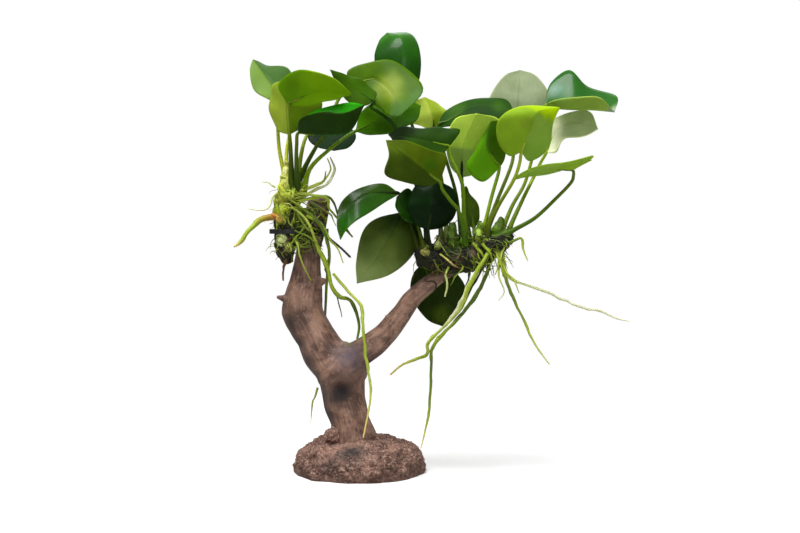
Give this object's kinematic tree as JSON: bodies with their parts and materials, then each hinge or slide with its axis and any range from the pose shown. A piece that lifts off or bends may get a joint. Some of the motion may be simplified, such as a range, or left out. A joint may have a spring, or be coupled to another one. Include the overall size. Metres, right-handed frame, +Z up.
{
  "type": "anubias on driftwood",
  "caption": "Small aquarium plants with rounded leaves on long stalks, tied and rooted to a forked piece of driftwood that stands in a round foot of sand",
  "frame": {"origin": "centre of the flat underside of the sand foot, on the surface it stands on", "axes": "+Z up, +X toward the right branch as seen in the picture, +Y away from the viewer of the picture"},
  "size_m": [0.2172, 0.0839, 0.2448],
  "materials": {
    "bark": "matte",
    "sand": "rough, granular",
    "rhizome": "matte",
    "root": "satin",
    "tie": "satin",
    "leaf_dark": "glossy",
    "leaf_green": "satin",
    "leaf_lime": "satin",
    "leaf_grey": "satin"
  },
  "bodies": {
    "root": {"sand_foot": "sand", "driftwood_trunk": "bark", "driftwood_left_arm": "bark", "driftwood_right_branch": "bark", "left_rhizome": "rhizome", "right_rhizome": "rhizome", "cable_tie": "tie", "left_leaf_1": "leaf_grey", "left_leaf_2": "leaf_lime", "left_leaf_3": "leaf_lime", "left_leaf_4": "leaf_dark", "left_leaf_5": "leaf_dark", "left_leaf_6": "leaf_lime", "left_leaf_7": "leaf_green", "middle_leaf_1": "leaf_green", "middle_leaf_2": "leaf_dark", "middle_leaf_3": "leaf_lime", "right_leaf_1": "leaf_grey", "right_leaf_2": "leaf_dark", "right_leaf_3": "leaf_lime", "right_leaf_4": "leaf_grey", "right_leaf_5": "leaf_green", "right_leaf_6": "leaf_green", "right_leaf_7": "leaf_lime", "right_leaf_8": "leaf_green", "right_leaf_9": "leaf_dark", "right_leaf_10": "leaf_dark", "right_leaf_11": "leaf_dark", "right_leaf_12": "leaf_dark", "right_leaf_13": "leaf_grey", "right_leaf_14": "leaf_dark", "right_leaf_15": "leaf_dark", "right_leaf_16": "leaf_green", "left_root_1": "root", "left_root_2": "root", "left_root_3": "root", "left_root_4": "root", "left_root_5": "root", "left_root_6": "root", "left_root_7": "root", "right_root_1": "root", "right_root_2": "root", "right_root_3": "root", "right_root_4": "root", "right_root_5": "root"}
  },
  "joints": []
}
